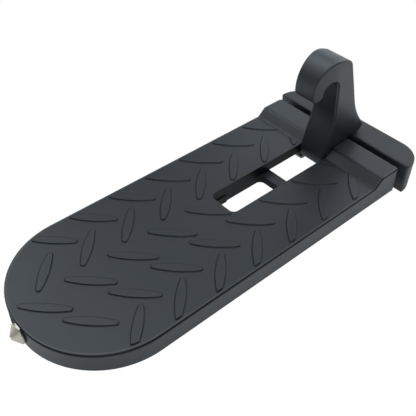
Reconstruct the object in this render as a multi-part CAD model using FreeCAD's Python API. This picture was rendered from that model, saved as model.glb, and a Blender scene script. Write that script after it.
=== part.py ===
import FreeCAD, Part
import math
import os

os.makedirs("parts", exist_ok=True)

# Fold-up car door step: a cast tread plate with a hook that hangs on the door striker.
# Millimetres. X runs from the round outer end towards the car, Y to the left, Z up.
# While it is drawn, X = 0 is the centre of the round end and Z = 0 is the tread face.
# At the end everything moves so that the origin is the middle of the bounding box's floor.

# Tread plate
PLATE_HALF_WIDTH = 40.0
PLATE_END = 39.6
PLATE_END_RADIUS = 38.8
PLATE_REAR = 146.6
PLATE_REAR_CORNER = 1.5
PLATE_DEPTH = 9.4
SKIN = 3.2
WALL = 3.0
EDGE_ROUND = 0.7

# Raised cross platform over the hinge
RAMP_FOOT = 129.4
RAMP_RUN = 4.5
PLATFORM_HEIGHT = 4.0
RAMP_TOP_ROUND = 2.5

# Ribs under the tread
RIB_THICKNESS = 2.0
RIB_DEPTH = 4.6
RIB_OFFSETS_Y = (22.0,)
RIB_PITCH_X = 26.0
RIB_FIRST_X = -14.0
CORE_ROOF = 0.8

# Slot that the folded hook drops into
SLOT_START = 66.5
SLOT_WIDTH = 16.0
SLOT_CORNER = 3.0
LEDGE_DEPTH = 5.4
LEDGE_STEP = 0.6
LEDGE_END = 77.0
BRIDGE_START = 100.5
BRIDGE_LENGTH = 6.0
SLOT_LINING = 2.2

# Raised lugs of the tread pattern
LUG_PITCH = 21.5
LUG_LENGTH = 21.6
LUG_WIDTH = 4.0
LUG_HEIGHT = 0.5
LUG_DRAFT = 0.25
LUG_TIP_ROUND = 0.9
LUG_SINK = 0.4
LUG_EDGE_MARGIN = 2.0
LUG_SLOT_MARGIN = 1.0
LUG_LEAST_VOLUME = 1.0
LUG_LEAN = 45.0
LUG_ROWS = (
    # side position, first centre along the plate, and 1 or -1 for the way that the lugs lean
    (30.9, -5.2, -1),
    (17.2, -17.4, 1),
    (0.3, -27.2, -1),
    (-17.0, -17.4, -1),
    (-30.9, -5.2, 1),
)

# Hinge
HINGE_X = 135.0
HINGE_DROP = 1.8
BARREL_RADIUS = 7.3
PIN_RADIUS = 3.0
PIN_RUNNING_CLEARANCE = 0.05
PIN_END_ROUND = 0.5
CHEEK_THICKNESS = 8.0
CHEEK_START = 130.5
SADDLE_LENGTH = 5.2
BARREL_GAP = 0.8

# Hook
HOOK_WIDTH = 15.2
HOOK_SIDE_ROUND = 0.8
THROAT_X = 127.55
THROAT_Z = 39.0
THROAT_RADIUS = 4.85
NOSE_THICKNESS = 6.4
NOSE_WIDTH = 11.4
NOSE_TAPER_OFFSET = 2.0
NOSE_TAPER_ROUND = 40.0
CROWN_RADIUS = 13.5
CROWN_RISE = 1.6
CROWN_FLAT = 5.1
CROWN_CORNER = 5.0
CROWN_SLOPE = 23.0
BACK_LEAN = 17.0
BACK_STRAIGHT = 25.5
STEM_LEAN = 3.8
STEM_FLARE = 15.6
STEM_FLARE_ROUND = 25.0
HEEL_X = 153.3
HEEL_RADIUS = 4.5
HEEL_TIP_ANGLE = 5.0
HEEL_GAP = 0.05

# Friction washers between the hook and the cheeks
WASHER_RADIUS = 5.0
WASHER_THICKNESS = 0.8
WASHER_EDGE_GAP = 0.3
WASHER_BORE_GAP = 0.1

# Keepers that close the pin's saddles from below
KEEPER_WIDTH = 8.0
KEEPER_THICKNESS = 1.6
KEEPER_FIT = 0.05
KEEPER_SCREW_Y = 19.4
KEEPER_END_MARGIN = 3.4
KEEPER_INNER_ROUND = 0.8
KEEPER_OUTER_ROUND = 3.8
KEEPER_HORN_DROP = 1.0
SCREW_BOSS_RADIUS = 4.0
KEEPER_SCREW_RADIUS = 1.5
KEEPER_SCREW_LENGTH = 6.0
KEEPER_HEAD_RADIUS = 2.6
KEEPER_HEAD_HEIGHT = 0.9

# Rubber bumper and the tongue that carries it
GROOVE_WIDTH = 3.6
BUMPER_DEPTH = 14.8
BUMPER_OVERHANG = 2.6
BUMPER_TOP = 4.0
BUMPER_DROP = 12.6
BUMPER_REAR_CORNER = 13.6
BUMPER_FRONT_CORNER = 1.0
BUMPER_TAPER = 0.4
BUMPER_TOP_ROUND = 0.8
BUMPER_FOOT_ROUND = 0.4
TONGUE_LENGTH = 12.4
TONGUE_INSET = 4.0
TONGUE_TOP = 2.2
TONGUE_THICKNESS = 5.0
TONGUE_CORNER = 2.0

# Screws that hold the bumper
BUMPER_SCREW_SPACING = 26.0
BUMPER_SCREW_X = 155.0
BUMPER_SCREW_RADIUS = 2.0
BUMPER_SCREW_BITE = 4.0
BUMPER_LIP = 2.0
BUMPER_WASHER_RADIUS = 4.4
BUMPER_WASHER_THICKNESS = 0.8
BUMPER_HEAD_RADIUS = 3.4
BUMPER_HEAD_HEIGHT = 1.3
COUNTERBORE_GAP = 0.3

# Glass breaker tip
TIP_DROP = 4.7
TIP_STANDOFF = 0.5
TIP_RADIUS = 4.6
TIP_COLLAR = 0.6
TIP_LENGTH = 3.5
TIP_POINT_RADIUS = 1.0
TIP_SHANK_RADIUS = 1.25
TIP_SHANK_LENGTH = 11.0
TIP_BOSS_HALF_WIDTH = 3.8
TIP_BOSS_LENGTH = 9.0
TIP_CRADLE_HALF_WIDTH = 1.3
TIP_CRADLE_INSET = 0.6
NOTCH_NEAR_Y = -2.5
NOTCH_FAR_Y = 9.0
NOTCH_TOP = 1.2
SET_SCREW_RADIUS = 1.5
SET_SCREW_OFFSET = 4.5
SET_SCREW_INSET = 0.2
SET_SCREW_DRIVE_RADIUS = 0.75
SET_SCREW_DRIVE_DEPTH = 1.0

# Screws
DRIVE_RADIUS = 1.1
DRIVE_DEPTH = 0.7
HEAD_ROUND_SHARE = 0.5
BLIND_HOLE_SPARE = 0.4

# How far joined shapes run into each other, and how far cuts run past a face
OVERLAP = 0.5
OVERSHOOT = 1.0
TINY = 1e-3
SAME_POINT = 1e-6
HEXAGON_SIDES = 6

# Worked out from the sizes above
HALF_SLOT = SLOT_WIDTH / 2
HINGE_Z = -HINGE_DROP
PLATE_FLOOR = -PLATE_DEPTH
CAVITY_REAR = HINGE_X + BARREL_RADIUS + BARREL_GAP
RAMP_TOP = RAMP_FOOT + RAMP_RUN
BRIDGE_END = BRIDGE_START + BRIDGE_LENGTH
CHEEK_OUTER = HALF_SLOT + CHEEK_THICKNESS
PIN_HALF_LENGTH = HALF_SLOT + SADDLE_LENGTH
BUMPER_FRONT = PLATE_REAR + GROOVE_WIDTH
BUMPER_REAR = BUMPER_FRONT + BUMPER_DEPTH
BUMPER_HALF_LENGTH = PLATE_HALF_WIDTH + BUMPER_OVERHANG
TONGUE_FLOOR = -TONGUE_TOP - TONGUE_THICKNESS
TONGUE_HALF_LENGTH = PLATE_HALF_WIDTH - TONGUE_INSET
TIP_BASE_X = PLATE_END + TIP_STANDOFF
TIP_END = -(TIP_BASE_X + TIP_LENGTH)
ORIGIN = FreeCAD.Vector((TIP_END + BUMPER_REAR) / 2, 0, -BUMPER_DROP)

UP = FreeCAD.Vector(0, 0, 1)
ALONG_X = FreeCAD.Vector(1, 0, 0)
ALONG_Y = FreeCAD.Vector(0, 1, 0)


def vec(x, y, z):
    """Short name for a point or direction."""
    return FreeCAD.Vector(x, y, z)


def box(x0, x1, y0, y1, z0, z1):
    """Block between two corners."""
    return Part.makeBox(x1 - x0, y1 - y0, z1 - z0, vec(x0, y0, z0))


def cylinder(radius, length, start, direction):
    """Round bar from a start point along a direction."""
    return Part.makeCylinder(radius, length, start, direction)


def rounded_wire(corners, place):
    """Closed wire of straight runs with each corner rounded by its own radius.

    corners holds (a, b, radius) in order, and place turns a pair (a, b) into a point.
    """
    starts = []
    ends = []
    middles = []
    count = len(corners)
    for i in range(count):
        a, b, radius = corners[i]
        before = corners[i - 1]
        after = corners[(i + 1) % count]
        to_before = FreeCAD.Vector(before[0] - a, before[1] - b, 0).normalize()
        to_after = FreeCAD.Vector(after[0] - a, after[1] - b, 0).normalize()
        corner = FreeCAD.Vector(a, b, 0)
        if radius == 0:
            starts.append(corner)
            ends.append(corner)
            middles.append(None)
            continue
        half_angle = to_before.getAngle(to_after) / 2
        run = radius / math.tan(half_angle)
        bisector = (to_before + to_after).normalize()
        centre = corner + bisector * (radius / math.sin(half_angle))
        starts.append(corner + to_before * run)
        ends.append(corner + to_after * run)
        middles.append(centre - bisector * radius)
    edges = []
    for i in range(count):
        if middles[i] is not None:
            through = [place(p.x, p.y) for p in (starts[i], middles[i], ends[i])]
            edges.append(Part.Arc(*through).toShape())
        nxt = (i + 1) % count
        if ends[i].distanceToPoint(starts[nxt]) > SAME_POINT:
            run_points = [place(p.x, p.y) for p in (ends[i], starts[nxt])]
            edges.append(Part.LineSegment(*run_points).toShape())
    return Part.Wire(edges)


def plan_prism(corners, z0, z1):
    """Upright prism of a rounded plan outline."""
    wire = rounded_wire(corners, lambda a, b: vec(a, b, z0))
    return Part.Face(wire).extrude(vec(0, 0, z1 - z0))


def side_prism(corners, y0, y1):
    """Prism of a rounded outline in the X-Z plane, run along Y."""
    wire = rounded_wire(corners, lambda a, b: vec(a, y0, b))
    return Part.Face(wire).extrude(vec(0, y1 - y0, 0))


def mirrored(shape):
    """Copy of a shape on the other side of the plate's middle plane."""
    return shape.mirror(vec(0, 0, 0), ALONG_Y)


def both_sides(shape):
    """A shape joined with its mirror copy."""
    return shape.fuse(mirrored(shape))


def plate_outline(inset, rear):
    """Plan corners of the tread: square towards the car, half round outside."""
    half = PLATE_HALF_WIDTH - inset
    end = PLATE_END - inset
    end_radius = PLATE_END_RADIUS - inset
    rear_corner = max(PLATE_REAR_CORNER - inset, 0)
    return [
        (-end, -half, end_radius),
        (rear, -half, rear_corner),
        (rear, half, rear_corner),
        (-end, half, end_radius),
    ]


def oblong(start, end, half, start_round, end_round):
    """Plan corners of an oblong about the middle line, with a corner radius for each end."""
    return [
        (start, -half, start_round),
        (end, -half, end_round),
        (end, half, end_round),
        (start, half, start_round),
    ]


def edges_where(shape, test):
    """Edges of a shape whose bounding box passes a test."""
    return [edge for edge in shape.Edges if test(edge.BoundBox)]


def tread_slab():
    """Flat slab of the tread with its upper rim rounded."""
    slab = plan_prism(plate_outline(0, PLATE_REAR), PLATE_FLOOR, 0)
    rim = edges_where(slab, lambda bb: bb.ZMin > -TINY)
    return slab.makeFillet(EDGE_ROUND, rim)


def platform():
    """Raised cross platform with its ramp, rounded along its sides and rear."""
    foot_run = RAMP_RUN * SKIN / PLATFORM_HEIGHT
    profile = [
        (RAMP_FOOT - foot_run, -SKIN, 0),
        (RAMP_TOP, PLATFORM_HEIGHT, RAMP_TOP_ROUND),
        (PLATE_REAR, PLATFORM_HEIGHT, 0),
        (PLATE_REAR, -SKIN, 0),
    ]
    block = side_prism(profile, -PLATE_HALF_WIDTH, PLATE_HALF_WIDTH)
    block = block.common(plan_prism(plate_outline(0, PLATE_REAR), -SKIN, PLATFORM_HEIGHT))
    side = PLATE_HALF_WIDTH - TINY

    def on_rim(bb):
        upper = bb.ZMax > PLATFORM_HEIGHT - TINY and bb.XMax > RAMP_TOP + RAMP_TOP_ROUND
        ramp = bb.ZLength > TINY and bb.XLength > TINY
        at_side = bb.YMin > side or bb.YMax < -side
        level = bb.ZLength < TINY and upper
        return level or (ramp and at_side)

    return block.makeFillet(EDGE_ROUND, edges_where(block, on_rim))


def tongue():
    """Flat tongue behind the plate that the bumper is pushed over."""
    half = TONGUE_HALF_LENGTH
    end = PLATE_REAR + TONGUE_LENGTH
    return plan_prism(oblong(CAVITY_REAR, end, half, 0, TONGUE_CORNER), TONGUE_FLOOR, -TONGUE_TOP)


def ribs():
    """Crossing ribs that stiffen the skin from below."""
    z0 = -SKIN - RIB_DEPTH
    half = RIB_THICKNESS / 2
    pieces = []
    for y in RIB_OFFSETS_Y:
        strip = box(-PLATE_HALF_WIDTH, PLATE_REAR, y - half, y + half, z0, -SKIN)
        pieces.append(both_sides(strip))
    x = RIB_FIRST_X
    while x < CHEEK_START - RIB_PITCH_X / 2:
        inner = HALF_SLOT + SLOT_LINING if x > SLOT_START - SLOT_LINING else 0
        strip = box(x - half, x + half, inner, PLATE_HALF_WIDTH, z0, -SKIN)
        pieces.append(both_sides(strip))
        x += RIB_PITCH_X
    return pieces


def slot_lining():
    """Walls around the slot: deep along the outer window, shallow along the inner one."""
    half = HALF_SLOT + SLOT_LINING
    deep = box(SLOT_START - SLOT_LINING, BRIDGE_END, -half, half, PLATE_FLOOR, -SKIN)
    shallow = box(BRIDGE_END, CHEEK_START, -half, half, -LEDGE_DEPTH, -SKIN)
    return [deep, shallow]


def cheeks():
    """Solid cheeks beside the barrel, with a boss for each keeper's screw."""
    cheek = box(CHEEK_START, PLATE_REAR, HALF_SLOT, CHEEK_OUTER, PLATE_FLOOR, 0)
    boss = cylinder(SCREW_BOSS_RADIUS, PLATE_DEPTH, vec(HINGE_X, KEEPER_SCREW_Y, PLATE_FLOOR), UP)
    front = HINGE_X - SCREW_BOSS_RADIUS
    rear = HINGE_X + SCREW_BOSS_RADIUS
    web = box(front, rear, CHEEK_OUTER, KEEPER_SCREW_Y, PLATE_FLOOR, 0)
    return [both_sides(cheek), both_sides(boss), both_sides(web)]


def tip_boss():
    """Boss behind the round end that the breaker's shank screws into."""
    inner = -PLATE_END + WALL
    half = TIP_BOSS_HALF_WIDTH
    return box(inner, inner + TIP_BOSS_LENGTH, -half, half, PLATE_FLOOR, -SKIN)


def lug_wire(z, grow):
    """Lens outline with softly rounded ends, centred on the origin at a height."""
    a = LUG_LENGTH / 2 + grow
    b = LUG_WIDTH / 2 + grow
    tip = LUG_TIP_ROUND + grow
    side = ((a - tip) ** 2 + b ** 2 - tip ** 2) / (2 * (b - tip))
    reach = side / (side - tip)
    tx = (a - tip) * reach
    ty = (side - b) * reach - (side - b)
    top = Part.Arc(vec(-tx, ty, z), vec(0, b, z), vec(tx, ty, z)).toShape()
    right = Part.Arc(vec(tx, ty, z), vec(a, 0, z), vec(tx, -ty, z)).toShape()
    bottom = Part.Arc(vec(tx, -ty, z), vec(0, -b, z), vec(-tx, -ty, z)).toShape()
    left = Part.Arc(vec(-tx, -ty, z), vec(-a, 0, z), vec(-tx, ty, z)).toShape()
    return Part.Wire([top, right, bottom, left])


def lugs():
    """Every raised lug of the pattern, trimmed clear of the rim, the slot and the ramp."""
    slope = LUG_DRAFT / LUG_HEIGHT
    wires = [lug_wire(-LUG_SINK, LUG_DRAFT + slope * LUG_SINK), lug_wire(LUG_HEIGHT, 0)]
    lug = Part.makeLoft(wires, True, True)
    outline = plate_outline(LUG_EDGE_MARGIN, RAMP_FOOT - LUG_SLOT_MARGIN)
    field = plan_prism(outline, -LUG_SINK, LUG_HEIGHT)
    half = HALF_SLOT + LUG_SLOT_MARGIN
    start = SLOT_START - LUG_SLOT_MARGIN
    field = field.cut(box(start, PLATE_REAR, -half, half, -OVERSHOOT, LUG_HEIGHT + OVERSHOOT))
    pieces = []
    for side_y, first_x, way in LUG_ROWS:
        x = first_x
        while x < RAMP_FOOT + LUG_LENGTH / 2:
            piece = lug.copy()
            piece.rotate(vec(0, 0, 0), UP, way * LUG_LEAN)
            piece.translate(vec(x, side_y, 0))
            piece = piece.common(field)
            if piece.Volume > LUG_LEAST_VOLUME:
                pieces.extend(piece.Solids)
            x += LUG_PITCH
    return pieces


def slot_cut():
    """Everything that the slot, its two windows and the hinge cavity take away."""
    floor = PLATE_FLOOR - OVERSHOOT
    top = PLATFORM_HEIGHT + OVERSHOOT
    half = HALF_SLOT
    upper = oblong(SLOT_START, CAVITY_REAR, half, SLOT_CORNER, 0)
    window = oblong(LEDGE_END, BRIDGE_START, half, 0, SLOT_CORNER)
    end = oblong(
        SLOT_START + LEDGE_STEP, LEDGE_END + OVERLAP, half - LEDGE_STEP, SLOT_CORNER - LEDGE_STEP, 0
    )
    return [
        plan_prism(upper, -LEDGE_DEPTH, top),
        plan_prism(window, floor, -LEDGE_DEPTH),
        plan_prism(end, floor, -LEDGE_DEPTH),
        box(BRIDGE_END, CAVITY_REAR, -half, half, floor, -LEDGE_DEPTH),
    ]


def pin_saddle():
    """Round-topped slots, open below, that the pin drops into."""
    end = PIN_HALF_LENGTH
    bore = cylinder(PIN_RADIUS, 2 * end, vec(HINGE_X, -end, HINGE_Z), ALONG_Y)
    front = HINGE_X - PIN_RADIUS
    rear = HINGE_X + PIN_RADIUS
    return bore.fuse(box(front, rear, -end, end, PLATE_FLOOR - OVERSHOOT, HINGE_Z))


def rear_cores():
    """Hollows under the platform beside the keepers' bosses."""
    inner = KEEPER_SCREW_Y + SCREW_BOSS_RADIUS + RIB_THICKNESS
    outer = PLATE_HALF_WIDTH - WALL
    return both_sides(box(RAMP_TOP, CAVITY_REAR, inner, outer, -SKIN - OVERSHOOT, CORE_ROOF))


def notch():
    """Notch under the rim of the round end, with a cradle left standing for the breaker's shank."""
    outer = -PLATE_END
    floor = PLATE_FLOOR - OVERSHOOT
    opening = box(outer - OVERSHOOT, outer + WALL, NOTCH_NEAR_Y, NOTCH_FAR_Y, floor, -NOTCH_TOP)
    half = TIP_CRADLE_HALF_WIDTH
    cradle = box(outer + TIP_CRADLE_INSET, outer + WALL, -half, half, floor, -TIP_DROP)
    return opening.cut(cradle)


def tread_plate():
    """The whole casting."""
    body = tread_slab().fuse([platform(), tongue()])
    cavity = plan_prism(plate_outline(WALL, CAVITY_REAR), PLATE_FLOOR - OVERSHOOT, -SKIN)
    inside = plan_prism(plate_outline(WALL - OVERLAP, CAVITY_REAR + OVERLAP), PLATE_FLOOR, 0)
    fill = [piece.common(inside) for piece in ribs() + slot_lining() + cheeks() + [tip_boss()]]
    body = body.cut([cavity, rear_cores()]).fuse(fill)
    body = body.fuse(lugs())
    shank = cylinder(TIP_SHANK_RADIUS, TIP_SHANK_LENGTH, vec(-PLATE_END, 0, -TIP_DROP), ALONG_X)
    holes = slot_cut() + [pin_saddle(), notch(), shank, set_screw_hole()]
    holes += [keeper_screw_hole(1), keeper_screw_hole(-1)]
    holes += [bumper_screw_hole(y) for y in bumper_screw_places()]
    return body.cut(holes).removeSplitter()


def hook_outline():
    """Closed side outline of the hook, as edges in the plane Y = 0."""

    def at(x, z):
        return vec(x, 0, z)

    def polar(cx, cz, radius, degrees):
        angle = math.radians(degrees)
        return at(cx + radius * math.cos(angle), cz + radius * math.sin(angle))

    def arc(cx, cz, radius, from_deg, to_deg):
        middle = (from_deg + to_deg) / 2
        ends = [polar(cx, cz, radius, d) for d in (from_deg, middle, to_deg)]
        return Part.Arc(*ends).toShape()

    def line(p, q):
        return Part.LineSegment(p, q).toShape()

    inner_x = THROAT_X - THROAT_RADIUS
    outer_x = inner_x - NOSE_THICKNESS
    crown = (outer_x + CROWN_RADIUS, THROAT_Z + CROWN_RISE)
    edges = [line(at(outer_x, THROAT_Z), at(outer_x, crown[1]))]
    edges.append(arc(*crown, CROWN_RADIUS, 180, 90 - CROWN_SLOPE))

    slope = math.radians(CROWN_SLOPE)
    lean = math.radians(BACK_LEAN)
    flat_dir = at(math.cos(slope), -math.sin(slope))
    flat_normal = at(math.sin(slope), math.cos(slope))
    back_dir = at(math.sin(lean), -math.cos(lean))
    back_normal = at(math.cos(lean), math.sin(lean))
    flat_start = polar(*crown, CROWN_RADIUS, 90 - CROWN_SLOPE)
    corner = flat_start + flat_dir * CROWN_FLAT
    corner_run = CROWN_CORNER * math.tan(math.radians(90 - CROWN_SLOPE - BACK_LEAN) / 2)
    flat_end = corner - flat_dir * corner_run
    corner_centre = flat_end - flat_normal * CROWN_CORNER
    back_end = corner + back_dir * BACK_STRAIGHT
    edges.append(line(flat_start, flat_end))
    edges.append(arc(corner_centre.x, corner_centre.z, CROWN_CORNER, 90 - CROWN_SLOPE, BACK_LEAN))
    edges.append(line(corner + back_dir * corner_run, back_end))

    heel_z = PLATFORM_HEIGHT + HEEL_GAP + HEEL_RADIUS
    heel_tip = polar(HEEL_X, heel_z, HEEL_RADIUS, HEEL_TIP_ANGLE)
    chord = heel_tip - back_end
    sweep_radius = chord.Length ** 2 / (2 * chord.dot(back_normal))
    sweep_centre = back_end + back_normal * sweep_radius
    to_middle = (back_end + heel_tip) / 2 - sweep_centre
    middle = sweep_centre + to_middle.normalize() * sweep_radius
    edges.append(Part.Arc(back_end, middle, heel_tip).toShape())
    edges.append(arc(HEEL_X, heel_z, HEEL_RADIUS, HEEL_TIP_ANGLE, -90))
    barrel_rear = HINGE_X + BARREL_RADIUS
    heel_floor = heel_z - HEEL_RADIUS
    flare_start = polar(HINGE_X, HINGE_Z, BARREL_RADIUS, 180 - STEM_FLARE)
    edges.append(line(at(HEEL_X, heel_floor), at(barrel_rear, heel_floor)))
    edges.append(line(at(barrel_rear, heel_floor), at(barrel_rear, HINGE_Z)))
    edges.append(arc(HINGE_X, HINGE_Z, BARREL_RADIUS, 0, -180 - STEM_FLARE))

    flare = math.radians(STEM_FLARE)
    stem = math.radians(STEM_LEAN)
    stem_top = polar(THROAT_X, THROAT_Z, THROAT_RADIUS, STEM_LEAN)
    flare_slope = math.tan(flare)
    stem_slope = -math.tan(stem)
    knee_z = (stem_top.x - stem_slope * stem_top.z - flare_start.x + flare_slope * flare_start.z) / (
        flare_slope - stem_slope
    )
    knee = at(flare_start.x + flare_slope * (knee_z - flare_start.z), knee_z)
    run = STEM_FLARE_ROUND * math.tan((flare + stem) / 2)
    flare_dir = at(math.sin(flare), math.cos(flare))
    stem_dir = at(-math.sin(stem), math.cos(stem))
    knee_start = knee - flare_dir * run
    knee_end = knee + stem_dir * run
    knee_centre = knee_start - at(math.cos(flare), -math.sin(flare)) * STEM_FLARE_ROUND
    knee_middle = knee_centre + (knee - knee_centre).normalize() * STEM_FLARE_ROUND
    edges.append(line(flare_start, knee_start))
    edges.append(Part.Arc(knee_start, knee_middle, knee_end).toShape())
    edges.append(line(knee_end, stem_top))
    edges.append(arc(THROAT_X, THROAT_Z, THROAT_RADIUS, STEM_LEAN, 180))
    edges.append(arc(inner_x - NOSE_THICKNESS / 2, THROAT_Z, NOSE_THICKNESS / 2, 0, -180))
    return edges


def nose_taper():
    """Prism seen from above that narrows the hook from behind its throat to its nose."""
    taper_start = THROAT_X + NOSE_TAPER_OFFSET
    nose_front = THROAT_X - THROAT_RADIUS - NOSE_THICKNESS - OVERSHOOT
    wide = HOOK_WIDTH / 2
    narrow = NOSE_WIDTH / 2
    far = HEEL_X + HEEL_RADIUS + OVERSHOOT
    corners = [(nose_front, narrow, 0), (taper_start, wide, NOSE_TAPER_ROUND), (far, wide, 0)]
    corners += [(x, -y, radius) for x, y, radius in reversed(corners)]
    floor = HINGE_Z - BARREL_RADIUS - OVERSHOOT
    top = THROAT_Z + CROWN_RISE + CROWN_RADIUS + OVERSHOOT
    return plan_prism(corners, floor, top)


def hook():
    """The hook: throat, nose, stem, heel and hinge barrel in one piece."""
    half = HOOK_WIDTH / 2
    face = Part.Face(Part.Wire(Part.__sortEdges__(hook_outline())))
    blade = face.extrude(vec(0, HOOK_WIDTH, 0))
    blade.translate(vec(0, -half, 0))
    blade = blade.common(nose_taper())
    blade = blade.makeFillet(HOOK_SIDE_ROUND, edges_where(blade, lambda bb: bb.YLength < TINY))
    bore_start = vec(HINGE_X, -half, HINGE_Z)
    bore = cylinder(PIN_RADIUS + PIN_RUNNING_CLEARANCE, HOOK_WIDTH, bore_start, ALONG_Y)
    depth = washer_recess()
    seat_start = vec(HINGE_X, half - depth, HINGE_Z)
    seat = cylinder(WASHER_RADIUS + WASHER_EDGE_GAP, depth, seat_start, ALONG_Y)
    return blade.cut([bore, seat, mirrored(seat)])


def washer_recess():
    """Depth of the hook's recess, so that a washer fills the gap to its cheek."""
    return WASHER_THICKNESS - (HALF_SLOT - HOOK_WIDTH / 2)


def friction_washer():
    """Washer between the hook's recess and the left cheek."""
    start = vec(HINGE_X, HALF_SLOT - WASHER_THICKNESS, HINGE_Z)
    disc = cylinder(WASHER_RADIUS, WASHER_THICKNESS, start, ALONG_Y)
    hole = cylinder(PIN_RADIUS + WASHER_BORE_GAP, WASHER_THICKNESS, start, ALONG_Y)
    return disc.cut(hole)


def hinge_pin():
    """Plain cross pin with rounded ends."""
    pin = cylinder(PIN_RADIUS, 2 * PIN_HALF_LENGTH, vec(HINGE_X, -PIN_HALF_LENGTH, HINGE_Z), ALONG_Y)
    rims = edges_where(pin, lambda bb: bb.YLength < TINY)
    return pin.makeChamfer(PIN_END_ROUND, rims)


def pin_keeper():
    """Plate under the left cheek, with a block that fills the saddle below the pin."""
    front = HINGE_X - KEEPER_WIDTH / 2
    rear = HINGE_X + KEEPER_WIDTH / 2
    inner = HALF_SLOT + KEEPER_FIT
    outer = KEEPER_SCREW_Y + KEEPER_END_MARGIN
    floor = PLATE_FLOOR - KEEPER_THICKNESS
    corners = [
        (front, inner, KEEPER_INNER_ROUND),
        (rear, inner, KEEPER_INNER_ROUND),
        (rear, outer, KEEPER_OUTER_ROUND),
        (front, outer, KEEPER_OUTER_ROUND),
    ]
    plate = plan_prism(corners, floor, PLATE_FLOOR)
    half = PIN_RADIUS - KEEPER_FIT
    end = PIN_HALF_LENGTH - KEEPER_FIT
    horn_top = HINGE_Z - KEEPER_HORN_DROP
    block = box(HINGE_X - half, HINGE_X + half, inner, end, PLATE_FLOOR, horn_top)
    pin = cylinder(PIN_RADIUS, PIN_HALF_LENGTH, vec(HINGE_X, 0, HINGE_Z), ALONG_Y)
    hole = cylinder(KEEPER_SCREW_RADIUS, KEEPER_THICKNESS, vec(HINGE_X, KEEPER_SCREW_Y, floor), UP)
    return plate.fuse(block).cut([pin, hole])


def keeper_screw_hole(side):
    """Blind hole for one keeper's screw."""
    depth = KEEPER_SCREW_LENGTH + BLIND_HOLE_SPARE
    return cylinder(KEEPER_SCREW_RADIUS, depth, vec(HINGE_X, side * KEEPER_SCREW_Y, PLATE_FLOOR), UP)


def hexagon_recess(x, y, z, radius, depth):
    """Six-sided prism rising from a point, to be cut from a screw."""
    points = []
    for i in range(HEXAGON_SIDES + 1):
        angle = 2 * math.pi * i / HEXAGON_SIDES
        points.append(vec(x + radius * math.cos(angle), y + radius * math.sin(angle), z))
    return Part.Face(Part.makePolygon(points)).extrude(vec(0, 0, depth))


def headed_screw(x, y, seat_z, shank_radius, shank_length, head_radius, head_height):
    """Low round-headed screw driven upwards, its head under seat_z, with a hexagon recess."""
    shank = cylinder(shank_radius, shank_length, vec(x, y, seat_z), UP)
    head_floor = seat_z - head_height
    head = cylinder(head_radius, head_height, vec(x, y, head_floor), UP)
    lower_rim = edges_where(head, lambda bb: bb.ZMax < head_floor + TINY)
    head = head.makeFillet(head_height * HEAD_ROUND_SHARE, lower_rim)
    recess = hexagon_recess(x, y, head_floor, DRIVE_RADIUS, DRIVE_DEPTH)
    return shank.fuse(head).cut(recess).removeSplitter()


def keeper_screw():
    """Screw that holds the left keeper."""
    seat = PLATE_FLOOR - KEEPER_THICKNESS
    length = KEEPER_THICKNESS + KEEPER_SCREW_LENGTH
    head = (KEEPER_HEAD_RADIUS, KEEPER_HEAD_HEIGHT)
    return headed_screw(HINGE_X, KEEPER_SCREW_Y, seat, KEEPER_SCREW_RADIUS, length, *head)


def bumper_screw_places():
    """Side positions of the bumper's screws."""
    return (-BUMPER_SCREW_SPACING, 0.0, BUMPER_SCREW_SPACING)


def bumper_lip_floor():
    """Height of the rubber lip's underside where the washers press on it."""
    return TONGUE_FLOOR - BUMPER_LIP


def bumper_screw_hole(y):
    """Blind hole in the tongue for one screw."""
    depth = BUMPER_SCREW_BITE + BLIND_HOLE_SPARE
    return cylinder(BUMPER_SCREW_RADIUS, depth, vec(BUMPER_SCREW_X, y, TONGUE_FLOOR), UP)


def bumper_plan(inset):
    """Plan corners of the bumper, drawn in at its ends and rear by an inset."""
    half = BUMPER_HALF_LENGTH - inset
    rear = BUMPER_REAR - inset
    rear_corner = BUMPER_REAR_CORNER - inset
    return oblong(BUMPER_FRONT, rear, half, BUMPER_FRONT_CORNER, rear_corner)


def rubber_bumper():
    """Rubber bar with quarter-round ends that tapers downwards and wraps the tongue."""
    lower = rounded_wire(bumper_plan(BUMPER_TAPER), lambda a, b: vec(a, b, -BUMPER_DROP))
    upper = rounded_wire(bumper_plan(0), lambda a, b: vec(a, b, BUMPER_TOP))
    body = Part.makeLoft([lower, upper], True, True)
    top_rim = edges_where(body, lambda bb: bb.ZMin > BUMPER_TOP - TINY)
    body = body.makeFillet(BUMPER_TOP_ROUND, top_rim)
    foot_rim = edges_where(body, lambda bb: bb.ZMax < TINY - BUMPER_DROP)
    body = body.makeFillet(BUMPER_FOOT_ROUND, foot_rim)
    cuts = [tongue()]
    for y in bumper_screw_places():
        lip_floor = bumper_lip_floor()
        bore = BUMPER_WASHER_RADIUS + COUNTERBORE_GAP
        cuts.append(cylinder(bore, lip_floor + BUMPER_DROP, vec(BUMPER_SCREW_X, y, -BUMPER_DROP), UP))
        cuts.append(cylinder(BUMPER_SCREW_RADIUS, BUMPER_LIP, vec(BUMPER_SCREW_X, y, lip_floor), UP))
    return body.cut(cuts)


def bumper_washer(y):
    """Washer that spreads one screw's load over the rubber lip."""
    start = vec(BUMPER_SCREW_X, y, bumper_lip_floor() - BUMPER_WASHER_THICKNESS)
    disc = cylinder(BUMPER_WASHER_RADIUS, BUMPER_WASHER_THICKNESS, start, UP)
    return disc.cut(cylinder(BUMPER_SCREW_RADIUS, BUMPER_WASHER_THICKNESS, start, UP))


def bumper_screw(y):
    """Screw that clamps the rubber lip to the tongue."""
    seat = bumper_lip_floor() - BUMPER_WASHER_THICKNESS
    length = BUMPER_WASHER_THICKNESS + BUMPER_LIP + BUMPER_SCREW_BITE
    head = (BUMPER_HEAD_RADIUS, BUMPER_HEAD_HEIGHT)
    return headed_screw(BUMPER_SCREW_X, y, seat, BUMPER_SCREW_RADIUS, length, *head)


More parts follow.
